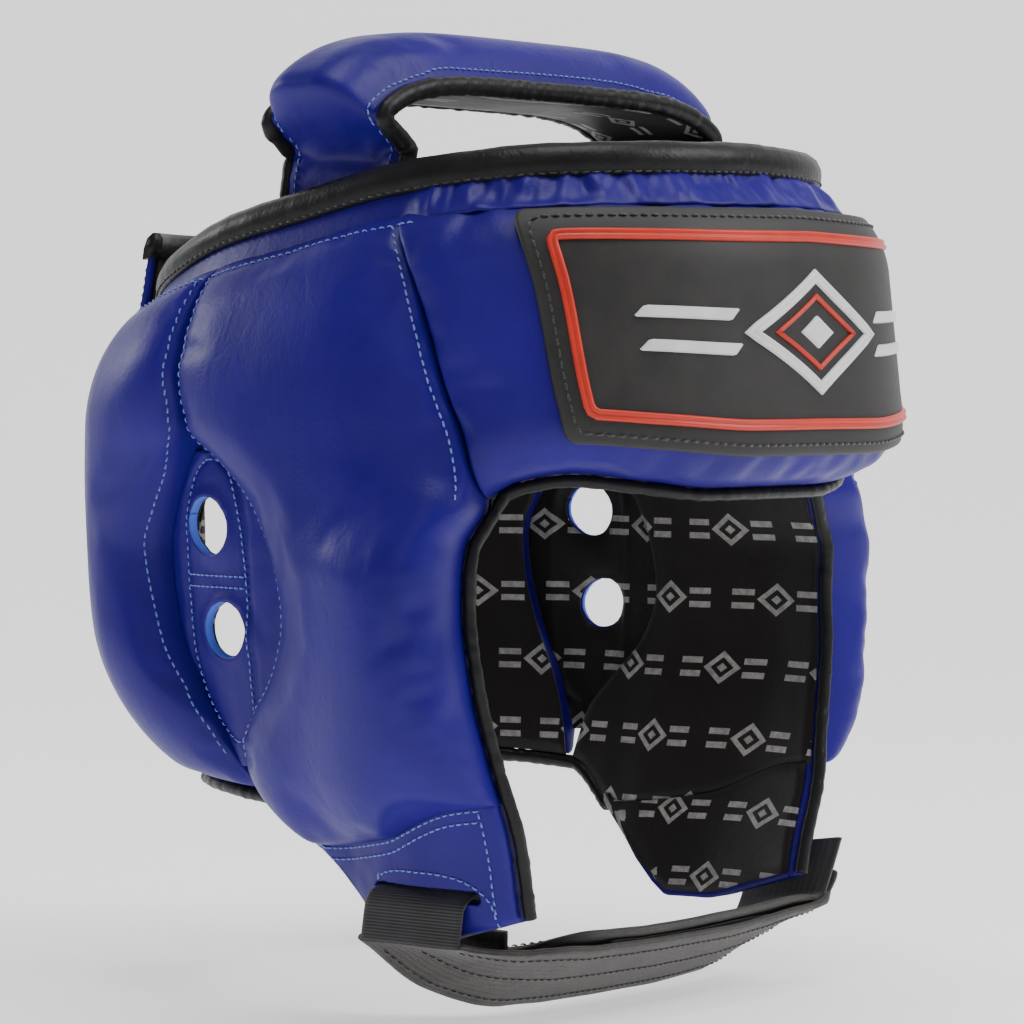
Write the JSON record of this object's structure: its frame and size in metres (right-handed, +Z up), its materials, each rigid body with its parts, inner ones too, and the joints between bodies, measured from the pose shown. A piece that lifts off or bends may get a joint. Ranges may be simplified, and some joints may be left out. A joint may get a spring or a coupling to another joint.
{
  "type": "boxing headgear",
  "caption": "Open-crown padded boxing headgear with brow patch, cheek pads, ear holes, crown strap, hook-and-loop chin strap and rear closure flap.",
  "frame": {"origin": "centre of the head cavity, level with the brow", "axes": "the wearer looks along -Y, the wearer's right is -X, +Z is up"},
  "size_m": [0.2276, 0.2448, 0.2936],
  "materials": {
    "blue_leather": "smooth synthetic leather with a fine grain and a soft sheen",
    "black_binding": "black binding tape, soft sheen",
    "black_lining": "black satin lining with a plain repeated grey mark",
    "foam": "closed-cell foam",
    "patch_rubber": "moulded matte rubber",
    "red_rubber": "moulded rubber, coloured in",
    "white_rubber": "moulded rubber, coloured in",
    "strap_loop": "brushed loop webbing",
    "hook_tape": "hook tape",
    "elastic": "woven elastic"
  },
  "bodies": {
    "shell": {"brow_emblem": "white_rubber", "brow_frame": "red_rubber", "brow_patch": "patch_rubber", "cheek_tab_l": "blue_leather", "cheek_tab_r": "blue_leather", "chin_band": "strap_loop", "chin_elastic": "elastic", "chin_hook_tape": "hook_tape", "crown_binding_front": "black_binding", "crown_binding_rear": "black_binding", "crown_cover": "blue_leather", "crown_foam": "foam", "crown_lining": "black_lining", "ear_panel_l": "blue_leather", "ear_panel_r": "blue_leather", "face_binding": "black_binding", "forehead_cover": "blue_leather", "forehead_foam": "foam", "forehead_lining": "black_lining", "gathered_band": "blue_leather", "hem_binding_l": "black_binding", "hem_binding_r": "black_binding", "rear_cover_l": "blue_leather", "rear_cover_r": "blue_leather", "rear_foam_l": "foam", "rear_foam_r": "foam", "rear_lining_l": "black_lining", "rear_lining_r": "black_lining", "rear_loop_patch": "strap_loop", "rim_binding": "black_binding", "rim_lining": "black_lining", "side_cover_l": "blue_leather", "side_cover_r": "blue_leather", "side_foam_l": "foam", "side_foam_r": "foam", "side_lining_l": "black_lining", "side_lining_r": "black_lining"},
    "chin_tail": {"chin_tail": "strap_loop"},
    "rear_flap": {"rear_flap": "blue_leather", "rear_hook_patch": "hook_tape"}
  },
  "joints": [
    {"name": "chin_tail_peel", "type": "hinge", "parent": "shell", "child": "chin_tail", "pos_m": [-0.0812, -0.0371, -0.1264], "axis": [-0.0705, 0.9975, 0], "range_deg": [0, 70]},
    {"name": "rear_flap_peel", "type": "hinge", "parent": "shell", "child": "rear_flap", "pos_m": [0.0412, 0.1088, 0.047], "axis": [0, 0, -1], "range_deg": [0, 110]}
  ]
}
